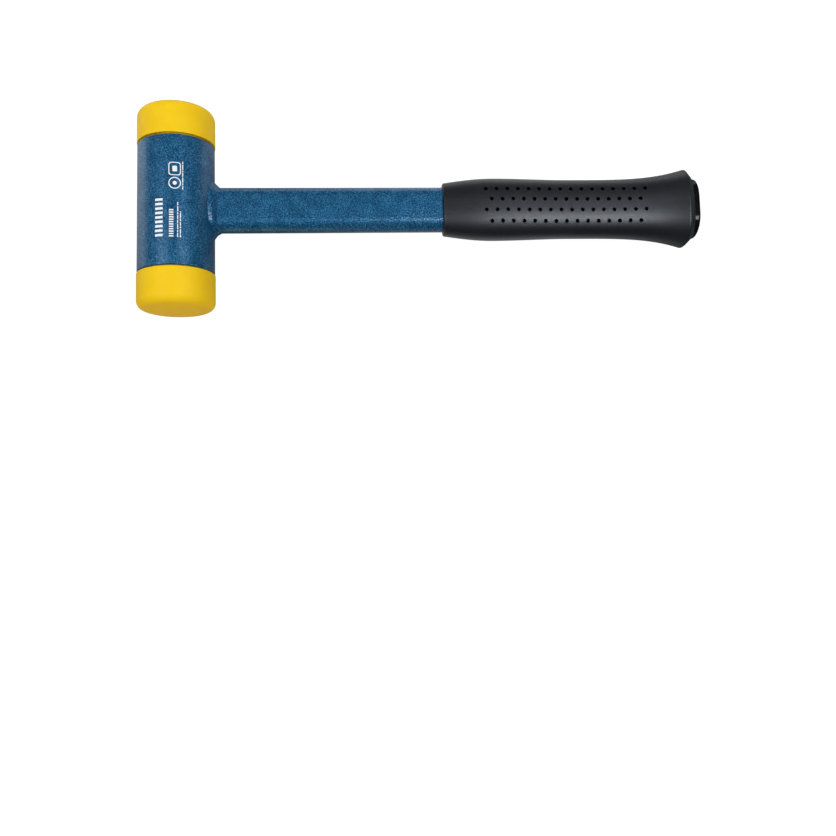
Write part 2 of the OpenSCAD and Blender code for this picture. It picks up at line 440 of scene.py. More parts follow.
@dataclass(frozen=True)
class CastUrethane:
    """Yellow cast urethane: satin, faintly mottled, with a fine cast skin."""

    name: str = Slot.URETHANE.value
    main: Colour = (0.855, 0.562, 0.011, 1)
    warm: Colour = (0.835, 0.527, 0.009, 1)
    roughness: float = 0.5

    def material(self) -> bpy.types.Material:
        """Builds the material."""
        paint = Paints(self.name)
        clouds = paint.noise(0.06, 3.0)
        skin = paint.noise(1.6, 3.0, 0.6)
        colour = paint.ramp(clouds, "Fac", ((0.30, self.warm), (0.65, self.main)))
        paint.join(colour, "Color", paint.shader, "Base Color")
        shine = paint.span(skin, "Fac", self.roughness - 0.05, self.roughness + 0.07, 0.3, 0.7)
        paint.join(shine, 0, paint.shader, "Roughness")
        relief = paint.bump(skin, "Fac", 0.02, 0.5)
        paint.join(relief, "Normal", paint.shader, "Normal")
        paint.set(IOR=1.5, Specular_IOR_Level=0.09, Subsurface_Weight=0.12, Subsurface_Scale=0.003)
        paint.shader.inputs["Subsurface Radius"].default_value = (1.0, 0.6, 0.1)
        return paint.material


@dataclass(frozen=True)
class MouldedVinyl:
    """Black moulded vinyl: a satin with a fine sparked grain."""

    name: str = Slot.VINYL.value
    main: Colour = (0.0050, 0.0058, 0.0080, 1)
    dull: Colour = (0.0075, 0.0085, 0.0115, 1)
    roughness: float = 0.40
    gloss: float = 0.5

    def material(self) -> bpy.types.Material:
        """Builds the material."""
        paint = Paints(self.name)
        grain = paint.noise(1.2, 4.0, 0.65)
        clouds = paint.noise(0.05, 3.0)
        colour = paint.ramp(clouds, "Fac", ((0.35, self.main), (0.70, self.dull)))
        paint.join(colour, "Color", paint.shader, "Base Color")
        shine = paint.span(grain, "Fac", self.roughness - 0.06, self.roughness + 0.08, 0.3, 0.7)
        paint.join(shine, 0, paint.shader, "Roughness")
        relief = paint.bump(grain, "Fac", 0.07, 0.8)
        paint.join(relief, "Normal", paint.shader, "Normal")
        paint.set(IOR=1.5, Specular_IOR_Level=self.gloss, Specular_Tint=(0.87, 0.92, 1.0, 1))
        return paint.material


@dataclass(frozen=True)
class GlossPlastic:
    """Glossy black moulded plastic with a faint flow pattern."""

    name: str = Slot.CAP.value
    main: Colour = (0.004, 0.004, 0.0055, 1)
    flow: Colour = (0.007, 0.007, 0.009, 1)

    def material(self) -> bpy.types.Material:
        """Builds the material."""
        paint = Paints(self.name)
        flow = paint.noise(0.15, 3.0)
        colour = paint.ramp(flow, "Fac", ((0.35, self.main), (0.70, self.flow)))
        paint.join(colour, "Color", paint.shader, "Base Color")
        shine = paint.span(flow, "Fac", 0.13, 0.20, 0.3, 0.7)
        paint.join(shine, 0, paint.shader, "Roughness")
        ripple = paint.bump(paint.noise(0.4, 2.0), "Fac", 0.01, 0.5)
        paint.join(ripple, "Normal", paint.shader, "Normal")
        paint.set(IOR=1.5, Specular_IOR_Level=0.14)
        return paint.material


@dataclass(frozen=True)
class PrintInk:
    """White screen-print ink, lying over the hammertone relief."""

    name: str = "print_ink"
    main: Colour = (0.80, 0.83, 0.85, 1)
    thin: Colour = (0.62, 0.68, 0.73, 1)

    def material(self) -> bpy.types.Material:
        """Builds the material."""
        paint = Paints(self.name)
        wear = paint.noise(1.8, 3.0, 0.6)
        colour = paint.ramp(wear, "Fac", ((0.30, self.thin), (0.48, self.main)))
        paint.join(colour, "Color", paint.shader, "Base Color")
        shine = paint.span(wear, "Fac", 0.38, 0.52, 0.3, 0.7)
        paint.join(shine, 0, paint.shader, "Roughness")
        relief = paint.bump(wear, "Fac", 0.02, 0.6)
        paint.join(relief, "Normal", paint.shader, "Normal")
        paint.set(IOR=1.5)
        return paint.material


@dataclass(frozen=True)
class BareSteel:
    """Bare steel with fine scratches, for the sealed pieces."""

    name: str
    main: Colour
    dark: Colour
    roughness: float

    def material(self) -> bpy.types.Material:
        """Builds the material."""
        paint = Paints(self.name)
        marks = paint.noise(1.2, 4.0, 0.7)
        colour = paint.ramp(marks, "Fac", ((0.30, self.dark), (0.65, self.main)))
        paint.join(colour, "Color", paint.shader, "Base Color")
        shine = paint.span(marks, "Fac", self.roughness - 0.08, self.roughness + 0.12, 0.3, 0.7)
        paint.join(shine, 0, paint.shader, "Roughness")
        relief = paint.bump(marks, "Fac", 0.01, 0.5)
        paint.join(relief, "Normal", paint.shader, "Normal")
        paint.set(Metallic=1.0)
        return paint.material


Finish = HammertoneEnamel | CastUrethane | MouldedVinyl | GlossPlastic | PrintInk | BareSteel


def dress(piece: bpy.types.Object, finish: bpy.types.Material) -> None:
    """Gives a piece one finish all over."""
    piece.data.materials.clear()
    piece.data.materials.append(finish)


def settle(piece: bpy.types.Object, slot: Slot | None, *nodes: str) -> None:
    """Hands a finished piece to the frame: it rides on the mallet and stands for its CAD nodes.

    Args:
        piece: The piece, in its place.
        slot: The record's slot for the piece's finish; not used.
        nodes: CAD nodes that it replaces.
    """
    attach(piece, MALLET_BODY)
    if nodes:
        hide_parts(*nodes)
    stands_for = ", ".join(nodes) or "nothing"
    log.info("%s: %d faces, stands for %s", piece.name, len(piece.data.polygons), stands_for)


# Head


@dataclass
class Head:
    """Steel head tube and its two urethane faces; the marks printed on it are built by PrintedMarks."""

    enamel: bpy.types.Material
    wall: float = 3.0 * MM
    socket_step: float = 0.8 * MM
    socket_len: float = 16.85 * MM
    chamfer_len: float = 0.6 * MM
    chamfer_depth: float = 0.5 * MM
    worn: float = 0.15 * MM
    corner_r: float = 5.3 * MM
    crown_r: float = 135 * MM
    land_r: float = 5 * MM
    seam_gap: float = 0.85 * MM
    seam_edge: float = 0.3 * MM
    stem_fit: float = 0.03 * MM
    rib_depth: float = 0.8 * MM
    grooves: int = 3
    stem_len: float = 13.8 * MM

    def __post_init__(self) -> None:
        """Reads the head's place and main sizes from the frame."""
        low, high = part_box("head_tube")
        self.centre = (low + high) / 2
        self.radius = (high.z - low.z) / 2
        self.half_len = (high.y - low.y) / 2
        face_low, face_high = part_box("striking_face_a")
        self.face_r = (face_high.z - face_low.z) / 2
        self.face_end = face_high.y - self.centre.y

    def build(self) -> None:
        """Builds and dresses every piece of the head."""
        self._tube()
        urethane = CastUrethane().material()
        for letter, side in (("a", 1.0), ("b", -1.0)):
            node = f"striking_face_{letter}"
            face = lathe(self._face_outline(), self.centre, side, f"{node}_cast")
            dress(face, urethane)
            settle(face, Slot.URETHANE, node)

    def _tube(self) -> None:
        """Builds the tube with its stepped bore and a worn-in edge at each end."""
        bore, socket = self.radius - self.wall, self.radius - self.wall + self.socket_step
        half, shoulder = self.half_len, self.half_len - self.socket_len
        worn, softened = self.worn, 2 / 3 * self.worn
        end = [
            (socket, half), (self.radius - self.chamfer_depth - worn, half),
            (self.radius - self.chamfer_depth, half - worn),
            (self.radius - softened, half - self.chamfer_len + softened),
            (self.radius, half - self.chamfer_len - worn),
            (self.radius, half - self.chamfer_len - 2 * worn),
        ]
        plain = half - 4 * MM
        outer = end + [(self.radius, y) for y in spaced(plain, -plain, 20)]
        outer += [(r, -y) for r, y in reversed(end)]
        inner = [(socket, -shoulder), (bore, -shoulder), (bore, shoulder), (socket, shoulder)]
        tube = lathe(outer + inner, self.centre, 1.0, "head_tube_painted")
        dress(tube, self.enamel)
        settle(tube, Slot.ENAMEL, "head_tube")

    def _face_outline(self) -> list[Pair]:
        """Returns half the outline of a striking face, from the crown's middle to the stem's end."""
        sink = self.crown_r - math.sqrt(self.crown_r**2 - self.land_r**2)
        dome = self.face_end + sink - self.crown_r
        corner_x = self.face_r - self.corner_r
        corner_y = dome + math.sqrt((self.crown_r - self.corner_r) ** 2 - corner_x**2)
        turn = math.degrees(math.asin(corner_x / (self.crown_r - self.corner_r)))
        start = self.half_len + self.seam_gap
        run = [(0.0, self.face_end), (0.5 * self.land_r, self.face_end)]
        land_turn = math.degrees(math.asin(self.land_r / self.crown_r))
        run += arc((0.0, dome), self.crown_r, 90 - land_turn, 90 - turn, 14)
        run += arc((corner_x, corner_y), self.corner_r, 90 - turn, 0, 14)[1:]
        run += [(self.face_r, y) for y in spaced(corner_y, start + self.seam_edge, 5)[1:]]
        run += arc((self.face_r - self.seam_edge, start + self.seam_edge), self.seam_edge, 0, -90, 5)[1:]
        stem = self.radius - self.wall + self.socket_step - self.stem_fit
        run += [(stem + 0.3 * MM, start), (stem, start)]
        pitch = self.stem_len / (self.grooves + 1)
        root = self.half_len - self.stem_len
        for i in range(self.grooves, 0, -1):
            middle = root + i * pitch
            run += [(stem, middle + pitch / 3), (stem - self.rib_depth, middle + pitch / 8),
                    (stem - self.rib_depth, middle - pitch / 8), (stem, middle - pitch / 3)]
        return run + [(stem, root + 0.4 * MM), (stem - 0.4 * MM, root), (0.0, root)]


# Sealed pieces


@dataclass
class DeadBlow:
    """The plates that close the shot chamber and the loose shot, which keep their CAD meshes."""

    plates: BareSteel = BareSteel(
        Slot.PLATE.value, (0.42, 0.42, 0.43, 1), (0.26, 0.26, 0.27, 1), roughness=0.38
    )
    shot: BareSteel = BareSteel(
        Slot.SHOT.value, (0.30, 0.29, 0.28, 1), (0.13, 0.125, 0.12, 1), roughness=0.32
    )

    def build(self) -> None:
        """Dresses every plate and layer of shot."""
        for prefix, finish in (("partition_plate", self.plates), ("shot_layer", self.shot)):
            steel = finish.material()
            for name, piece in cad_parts.items():
                if name.startswith(prefix):
                    dress(piece, steel)
                    log.info("%s: CAD mesh, %s", name, finish.name)


# Handle


@dataclass
class Handle:
    """Flat-sided oval handle tube and the weld that holds it to the head."""

    enamel: bpy.types.Material
    head: Head
    wall: float = 2.0 * MM
    root_gap: float = 0.2 * MM
    weld_stops: tuple[tuple[float, float, float, float], ...] = (
        (0, 4.0, 4.1, -0.2), (30, 3.7, 3.7, 0.1), (50, 4.0, 3.9, 0.55), (80, 4.45, 4.0, 0.7),
        (100, 4.2, 4.0, 0.7), (118, 3.75, 3.9, 0.65), (134, 3.1, 3.7, 0.55), (148, 2.3, 3.6, 0.35),
        (160, 1.9, 3.6, 0.0), (180, 5.2, 5.6, -0.9),
    )
    weld_sink: float = 0.9 * MM
    weld_feather: float = 0.12 * MM
    weld_steps: int = 14
    ripple: float = 0.11 * MM
    ripple_pitch: float = 1.9 * MM

    def __post_init__(self) -> None:
        """Reads the tube's section and ends from the frame."""
        low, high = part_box("handle_tube")
        self.axis = (low + high) / 2
        self.end_x = high.x
        width, thickness = high.y - low.y, high.z - low.z
        self.oval = Oval((width - thickness) / 2, thickness / 2)

    def build(self) -> None:
        """Builds and dresses the tube and the weld."""
        self._tube()
        self._weld()

    def _on_head(self, radius: float, z: float) -> float:
        """Returns the X of the head-shaped surface of a radius at height z over the axis."""
        return self.head.centre.x + math.sqrt(radius**2 - z**2)

    def _tube(self) -> None:
        """Builds the tube, coped to the head at one end."""
        skin = Skin()
        cope = self.head.radius + self.root_gap
        stations = spaced(0, 1, 60)

        def wall(oval: Oval) -> list[list[int]]:
            """Adds the rings of one wall, head end first."""
            outline = oval.outline()
            rings = []
            for t in stations:
                rings.append(skin.ring([
                    (mix(self._on_head(cope, z), self.end_x, t), self.axis.y + y, self.axis.z + z)
                    for y, z, _, _ in outline
                ]))
            return rings

        outer, inner = wall(self.oval), wall(self.oval.grown(-self.wall))
        for rings in (outer, inner):
            for a, b in zip(rings, rings[1:]):
                skin.strip(a, b)
        skin.strip(outer[0], inner[0])
        skin.strip(outer[-1], inner[-1])
        tube = skin.make("handle_tube_painted")
        dress(tube, self.enamel)
        settle(tube, Slot.ENAMEL, "handle_tube")

    def _weld(self) -> None:
        """Builds the bead as overlapping ripples laid once round the tube."""
        skin = Skin()
        path = Oval(self.oval.offset, self.oval.radius, edge_steps=64, flat_steps=44).outline()
        travel = 0.0
        rings = []
        for i, (y, z, out_y, out_z) in enumerate(path):
            if i:
                travel += math.hypot(y - path[i - 1][0], z - path[i - 1][1])
            section = self._bead(travel, math.degrees(math.atan2(abs(z), y)))
            rings.append(skin.ring([
                (self._on_head(self.head.radius, z + s * out_z) + rise,
                 self.axis.y + y + s * out_y, self.axis.z + z + s * out_z)
                for s, rise in section
            ]))
        for a, b in zip(rings, rings[1:] + rings[:1]):
            skin.strip(a, b)
        weld = skin.make("handle_weld_bead", crease=60)
        dress(weld, self.enamel)
        settle(weld, Slot.ENAMEL, "handle_weld")

    def _weld_size(self, turn: float) -> tuple[float, float, float]:
        """Returns the bead's leg on the head, its leg on the tube and its bulge, in metres.

        The stops hold these in millimetres, each after the turn where it applies.

        Args:
            turn: Direction from the handle's axis, in degrees from +Y round to -Y.

        Returns:
            The three sizes.
        """
        for low, high in zip(self.weld_stops, self.weld_stops[1:]):
            if turn <= high[0]:
                share = (turn - low[0]) / (high[0] - low[0])
                return tuple(mix(a, b, share) * MM for a, b in zip(low[1:], high[1:]))
        return tuple(value * MM for value in self.weld_stops[-1][1:])

    def _bead(self, travel: float, turn: float) -> list[Pair]:
        """Returns the bead's section at one point of its travel.

        Args:
            travel: Distance along the weld.
            turn: Direction from the handle's axis, in degrees from +Y round to -Y.

        Returns:
            Pairs of distance out from the tube and height over the head, as a closed run.
        """
        sway = 0.16 * MM * math.sin(travel / (7.3 * MM)) + 0.12 * MM * math.sin(travel / (3.1 * MM) + 1.0)
        head_leg, tube_leg, bulge = self._weld_size(turn)
        head_leg, tube_leg = head_leg + sway, tube_leg + sway / 2
        run = [(-self.weld_sink, -self.weld_sink), (-self.weld_sink, tube_leg - 0.4 * MM)]
        for t in spaced(0, 1, self.weld_steps):
            lag = 0.5 * math.sin(math.pi * t)
            phase = (travel / self.ripple_pitch + lag) % 1.0
            crest = self.ripple * (phase**2) * math.sin(math.pi * t) ** 0.7
            out = (bulge * math.sin(math.pi * t) + crest) * math.sqrt(0.5)
            toe = -self.weld_feather
            run.append((mix(toe, head_leg, t) + out, mix(tube_leg, toe, t) + out))
        return run + [(head_leg - 0.4 * MM, -self.weld_sink)]


# Grip


@dataclass
class Grip:
    """Moulded grip: a squarish oval sleeve with dimpled flats, a flared rim and a recess for the cap."""

    vinyl: bpy.types.Material
    # Darker vinyl painted into the dimples as shade.
    dimple_painted_shade: bpy.types.Material
    handle: Handle
    fit: float = 0.05 * MM
    lip_wall: float = 2.6 * MM
    lip_r: float = 1.3 * MM
    bulge_at: float = 34 * MM
    bulge_walls: tuple[float, float] = (5.6 * MM, 4.8 * MM)
    waist_at: float = 86 * MM
    waist_walls: tuple[float, float] = (4.6 * MM, 3.9 * MM)
    rim_walls: tuple[float, float] = (11.1 * MM, 11.0 * MM)
    rim_bevel: float = 4.5 * MM
    rim_round: float = 1.1 * MM
    end_round: float = 0.5 * MM
    flare_power: float = 3.7
    squareness: float = 2.6
    cap_recess: float = 2.5 * MM
    cap_margin: float = 1.3 * MM
    cap_fit: float = 0.15 * MM
    recess_edge: float = 0.25 * MM
    dimple_pitch: float = 7.2 * MM
    row_pitch: float = 7.35 * MM
    dimple_rows: int = 4
    dimples_long: int = 16
    first_dimple: float = 28.4 * MM
    dimple_shift: float = -0.3 * MM
    dimple_rings: tuple[Pair, ...] = (
        (1.33, 0.0), (1.31, 0.04), (1.30, 0.20), (1.29, 0.7), (1.27, 1.5), (1.24, 2.6), (1.05, 3.3)
    )
    dimple_floor: float = 3.4 * MM
    # Depth past which a dimple's faces take the painted shade.
    painted_shade_from: float = 0.1 * MM
    cell_steps: int = 8
    edge_steps: int = 15

    def __post_init__(self) -> None:
        """Reads the sleeve's place from the frame and lays out the dimpled band."""
        low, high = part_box("grip_sleeve")
        self.start, self.end = low.x, high.x
        self.axis = self.handle.axis
        oval = self.handle.oval
        self.half_width, self.half_depth = oval.offset + oval.radius, oval.radius
        self.rim_x = self.end - self.rim_bevel
        self.band = self.row_pitch * self.dimple_rows / 2
        self.band_start = self.start + self.first_dimple - self.dimple_pitch / 2
        self.band_end = self.band_start + self.dimples_long * self.dimple_pitch
        self.recess = oval.grown(self.rim_walls[1] - self.rim_bevel - self.cap_margin + self.cap_fit)

    def walls(self, x: float) -> tuple[float, float]:
        """Returns the wall on the edges and on the flats at a place between the lip and the rim."""
        bulge, waist = self.start + self.bulge_at, self.start + self.waist_at
        lip = (self.lip_wall, self.lip_wall)
        if x < bulge:
            t = max(0.0, (x - self.start - self.lip_r) / (self.bulge_at - self.lip_r))
            a, b, share = lip, self.bulge_walls, math.sin(math.pi / 2 * t)
        elif x < waist:
            a, b, share = self.bulge_walls, self.waist_walls, smooth((x - bulge) / (waist - bulge))
        else:
            t = min(1.0, (x - waist) / (self.rim_x - waist))
            a, b, share = self.waist_walls, self.rim_walls, t**self.flare_power
        return mix(a[0], b[0], share), mix(a[1], b[1], share)

    def build(self) -> None:
        """Builds and dresses the sleeve."""
        skin = Skin()
        self.skin = skin
        band_steps = self.dimples_long * self.cell_steps
        front = self._lip() + self._stations(self.start + self.lip_r, self.band_start, 26)[1:-1]
        band = self._stations(self.band_start, self.band_end, band_steps)
        back = self._stations(self.band_end, self.rim_x - self.rim_round, 24)[1:] + self._rim()
        front_rings, band_rings, back_rings = (
            [skin.ring(self._ring(*station)) for station in part] for part in (front, band, back)
        )
        self._join(front_rings, band_rings, back_rings)
        for side in (1, -1):
            self._dimple_band(side, band_rings)
        self._bore(front_rings[0], back_rings[-1])
        sleeve = skin.make("grip_sleeve_moulded", crease=48)
        dress(sleeve, self.vinyl)
        self._shade_dimples(sleeve.data)
        settle(sleeve, Slot.VINYL, "grip_sleeve")

    def _shade_dimples(self, mesh: bpy.types.Mesh) -> None:
        """Gives the faces inside the dimples, past their rims, a darker, duller vinyl: painted shade in the
        recesses.
        """
        mesh.materials.append(self.dimple_painted_shade)
        for face in mesh.polygons:
            x, y, z = face.center.x, face.center.y - self.axis.y, abs(face.center.z - self.axis.z)
            in_band = self.band_start < x < self.band_end and abs(y) < self.band
            if in_band and self._height(x, y, *self.walls(x)) - z > self.painted_shade_from:
                face.material_index = 1

    def _stations(self, start: float, end: float, count: int) -> list[Point]:
        """Returns even stations as (x, wall on the edges, wall on the flats)."""
        return [(x, *self.walls(x)) for x in spaced(start, end, count)]

    def _lip(self) -> list[Point]:
        """Returns stations round the front lip."""
        run = []
        for a in spaced(math.pi / 2, 0, 7):
            wall = self.lip_wall - self.lip_r * (1 - math.cos(a))
            run.append((self.start + self.lip_r * (1 - math.sin(a)), wall, wall))
        return run

    def _rim(self) -> list[Point]:
        """Returns stations over the softened rim, down the bevel and round the end's edge."""
        edge, flat = self.rim_walls
        step = self.rim_round
        x, (edge_before, flat_before) = self.rim_x - step, self.walls(self.rim_x - step)
        run = []
        for t in spaced(0, 1, 8)[1:]:
            a, b, c = (1 - t) ** 2, 2 * t * (1 - t), t * t
            drop = step * math.sqrt(0.5)
            run.append((a * x + b * self.rim_x + c * (self.rim_x + drop),
                        a * edge_before + b * edge + c * (edge - drop),
                        a * flat_before + b * flat + c * (flat - drop)))
        drop = self.rim_bevel - self.end_round * math.sqrt(0.5)
        for t in spaced(run[-1][0] - self.rim_x, drop, 5)[1:]:
            run.append((self.rim_x + t, edge - t, flat - t))
        for t in spaced(0, 1, 4)[1:]:
            a, b, c = (1 - t) ** 2, 2 * t * (1 - t), t * t
            full = self.rim_bevel
            run.append((self.rim_x + a * drop + (b + c) * full,
                        edge - a * drop - b * full - c * (full + self.end_round),
                        flat - a * drop - b * full - c * (full + self.end_round)))
        return run

    def _height(self, x: float, y: float, edge_wall: float, flat_wall: float) -> float:
        """Returns how high the surface is over the axis at a distance y from the middle."""
        share = min(1.0, abs(y) / (self.half_width + edge_wall))
        return (self.half_depth + flat_wall) * (1 - share**self.squareness) ** (1 / self.squareness)

    def _half_band(self, x: float, edge_wall: float) -> float:
        """Returns the half width of the part of a flat that the dimpled band runs on into."""
        if self.band_start <= x <= self.band_end:
            return self.band
        near = self.band_start if x < self.band_start else self.band_end
        return self.band * (self.half_width + edge_wall) / (self.half_width + self.walls(near)[0])

    def _flat_points(self, x: float, edge_wall: float, flat_wall: float, side: int) -> list[Point]:
        """Returns the points across one flat, from -Y to +Y."""
        half = self._half_band(x, edge_wall)
        return [
            (x, self.axis.y + y, self.axis.z + side * self._height(x, y, edge_wall, flat_wall))
            for y in spaced(-half, half, self.dimple_rows * self.cell_steps)
        ]

    def _edge_points(self, x: float, edge_wall: float, flat_wall: float, side: int) -> list[Point]:
        """Returns the points round one edge, from the front flat to the back one, ends left out."""
        width, depth = self.half_width + edge_wall, self.half_depth + flat_wall
        turn = math.acos((self._half_band(x, edge_wall) / width) ** (self.squareness / 2))
        run = []
        for a in spaced(turn, -turn, 2 * self.edge_steps)[1:-1]:
            y = width * math.cos(a) ** (2 / self.squareness)
            z = depth * math.copysign(abs(math.sin(a)) ** (2 / self.squareness), a)
            run.append((x, self.axis.y + side * y, self.axis.z + z))
        return run

    def _ring(self, x: float, edge_wall: float, flat_wall: float) -> list[Point]:
        """Returns a whole ring: front flat, +Y edge, back flat, -Y edge."""
        station = (x, edge_wall, flat_wall)
        return (self._flat_points(*station, 1) + self._edge_points(*station, 1)
                + self._flat_points(*station, -1)[::-1] + self._edge_points(*station, -1)[::-1])

    def _join(self, front: list[list[int]], band: list[list[int]], back: list[list[int]]) -> None:
        """Joins the rings: all the way round at the ends, and only round the edges beside the dimples."""
        for rings in (front + band[:1], band[-1:] + back):
            for a, b in zip(rings, rings[1:]):
                self.skin.strip(a, b)
        across = self.dimple_rows * self.cell_steps + 1
        edge = 2 * self.edge_steps - 1
        for a, b in zip(band, band[1:]):
            for first in (across - 1, 2 * across + edge - 1):
                run = [(first + i) % len(a) for i in range(edge + 2)]
                self.skin.strip([a[i] for i in run], [b[i] for i in run], closed=False)

    def _dimple_band(self, side: int, band: list[list[int]]) -> None:
        """Fills one flat between the edges with rows of dimples, staggered by half a pitch."""
        n = self.cell_steps
        across = self.dimple_rows * n + 1
        edge = 2 * self.edge_steps - 1

        def at(i: int, k: int) -> int:
            """Returns the number of the point at station i and line k."""
            return band[i][k if side > 0 else across + edge + (across - 1 - k)]

        last = self.dimples_long * n
        for row in range(self.dimple_rows):
            low = row * n
            stagger = n // 2 if row % 2 == 0 else 0
            for start in range(stagger, last - n + 1, n):
                self._dimple(start, low, side, at)
            if stagger:
                for start in (0, last - stagger):
                    for i in range(start, start + stagger):
                        for k in range(low, low + n):
                            self.skin.faces.append((at(i, k), at(i + 1, k), at(i + 1, k + 1), at(i, k + 1)))

    def _dimple(self, start: int, low: int, side: int, at: Callable[[int, int], int]) -> None:
        """Makes one square cell with a round dimple in it.

        Args:
            start: Station of the cell's first side.
            low: Line of its lower side.
            side: 1 for the front flat, -1 for the back.
            at: Gives the number of a grid point.
        """
        n = self.cell_steps
        border = ([(start + i, low) for i in range(n)] + [(start + n, low + k) for k in range(n)]
                  + [(start + n - i, low + n) for i in range(n)] + [(start, low + n - k) for k in range(n)])
        rim = [at(i, k) for i, k in border]
        step, row_step = self.dimple_pitch / n, self.row_pitch / n
        centre_x = self.band_start + (start + n / 2) * step
        centre_y = -self.band + (low + n / 2) * row_step + self.dimple_shift
        turns = [(math.cos(a), math.sin(a)) for a in
                 (math.radians(225) + FULL_TURN * i / len(border) for i in range(len(border)))]
        first = self.dimple_rings[0][0] * MM
        between = []
        for (i, k), (c, s) in zip(border, turns):
            x = mix(self.band_start + i * step, centre_x + first * c, 0.5)
            y = mix(-self.band + k * row_step, centre_y + first * s, 0.5)
            between.append(self._sunk(x, y, 0.0, side))
        rings = [rim, self.skin.ring(between)]
        for radius, depth in self.dimple_rings:
            rings.append(self.skin.ring([
                self._sunk(centre_x + radius * MM * c, centre_y + radius * MM * s, depth * MM, side)
                for c, s in turns
            ]))
        for a, b in zip(rings, rings[1:]):
            self.skin.strip(a, b)
        self.skin.fan(rings[-1], self._sunk(centre_x, centre_y, self.dimple_floor, side))

    def _sunk(self, x: float, y: float, depth: float, side: int) -> Point:
        """Returns a point of a flat, sunk square to the surface.

        Args:
            x: Place along the grip.
            y: Distance from its middle line.
            depth: How deep the point lies.
            side: 1 for the front flat, -1 for the back.

        Returns:
            The point.
        """
        reach = 0.05 * MM

        def height(px: float, py: float) -> float:
            """Returns the surface's height at a place."""
            return self._height(px, py, *self.walls(px))

        slope_x = (height(x + reach, y) - height(x - reach, y)) / (2 * reach)
        slope_y = (height(x, y + reach) - height(x, y - reach)) / (2 * reach)
        out = Vector((-slope_x, -slope_y, 1.0)).normalized() * depth
        return (x - out.x, self.axis.y + y - out.y, self.axis.z + side * (height(x, y) - out.z))

    def _inward(self, ring: Sequence[int], oval: Oval, x: float) -> list[int]:
        """Adds a ring on an oval, with a point in the direction of each point of another ring."""
        points = []
        for number in ring:
            _, y, z = self.skin.points[number]
            points.append(oval.point(self.axis, x, math.atan2(z - self.axis.z, y - self.axis.y)))
        return self.skin.ring(points)

    def _bore(self, lip: list[int], end: list[int]) -> None:
        """Closes the sleeve: the recess for the cap, then the bore back to the lip."""
        bore = self.handle.oval.grown(self.fit)
        floor = self.end - self.cap_recess
        rings = [
            end,
            self._inward(end, self.recess.grown(self.recess_edge), self.end),
            self._inward(end, self.recess, self.end - self.recess_edge),
            self._inward(end, self.recess, floor),
            self._inward(end, bore, floor),
            self._inward(end, bore, self.start),
            lip,
        ]
        for a, b in zip(rings, rings[1:]):
            self.skin.strip(a, b)


@dataclass
class EndCap:
    """Glossy cap on the end of the grip, with a hollow plug that sits in the handle tube."""

    grip: Grip
    edge_r: float = 1.6 * MM
    crown_r: float = 90 * MM
    long_crown_r: float = 250 * MM
    plug_len: float = 14 * MM
    plug_wall: float = 1.8 * MM
    plug_fit: float = 0.1 * MM
    gate_r: float = 1.1 * MM
    gate_depth: float = 0.2 * MM
    back_edge: float = 0.3 * MM
    tip_edge: float = 0.5 * MM
    turns: int = 96

    def __post_init__(self) -> None:
        """Reads the cap's ends from the frame."""
        self.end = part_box("end_cap")[1].x
        self.start = self.grip.end - self.grip.cap_recess
        self.oval = self.grip.recess.grown(-self.grip.cap_fit)
        self.axis = self.grip.axis

    def build(self) -> None:
        """Builds and dresses the cap as one skin, from the middle of its face to the plug's bore."""
        skin = Skin()
        plug = self.grip.handle.oval.grown(-self.grip.handle.wall - self.plug_fit)
        bore = plug.grown(-self.plug_wall)
        tip = self.start - self.plug_len
        gate = Oval(0.0, self.gate_r)
        corner = self.oval.radius - self.edge_r
        dome = self.end - self.crown_r
        height = dome + math.sqrt((self.crown_r - self.edge_r) ** 2 - corner**2)
        turn = math.degrees(math.asin(corner / (self.crown_r - self.edge_r)))
        sections = [
            (gate.grown(-0.35 * MM), self.end - self.gate_depth - 0.05 * MM),
            (gate, self.end - self.gate_depth),
            (gate.grown(0.08 * MM), self.end),
        ]
        crown = arc((0.0, dome), self.crown_r, 88, 90 - turn, 12)
        for radius, x in crown + arc((corner, height), self.edge_r, 90 - turn, 0, 9)[1:]:
            sections.append((self.oval.grown(radius - self.oval.radius), x))
        sections += [(self.oval, x) for x in spaced(height, self.start + self.back_edge, 6)[1:]]
        sections += [
            (self.oval.grown(-self.back_edge), self.start), (plug, self.start), (plug, tip + self.tip_edge),
            (plug.grown(-self.tip_edge), tip), (bore, tip), (bore, self.start - self.plug_wall),
        ]
        angles = [FULL_TURN * i / self.turns for i in range(self.turns)]
        rings = [
            skin.ring([self._settled(oval.point(self.axis, x, angle)) for angle in angles])
            for oval, x in sections
        ]
        for a, b in zip(rings, rings[1:]):
            skin.strip(a, b)
        for ring, (_, x) in ((rings[0], sections[0]), (rings[-1], sections[-1])):
            skin.fan(ring, (x, self.axis.y, self.axis.z))
        cap = skin.make("end_cap_moulded")
        dress(cap, GlossPlastic().material())
        settle(cap, Slot.CAP, "end_cap")

    def _settled(self, point: Point) -> Point:
        """Returns a point lowered for the crown across the cap, more with height over the recess's floor."""
        x, y, z = point
        if x <= self.start:
            return point
        drop = (y - self.axis.y) ** 2 / (2 * self.long_crown_r)
        return (x - drop * (x - self.start) / (self.end - self.start), y, z)


# Printed marks


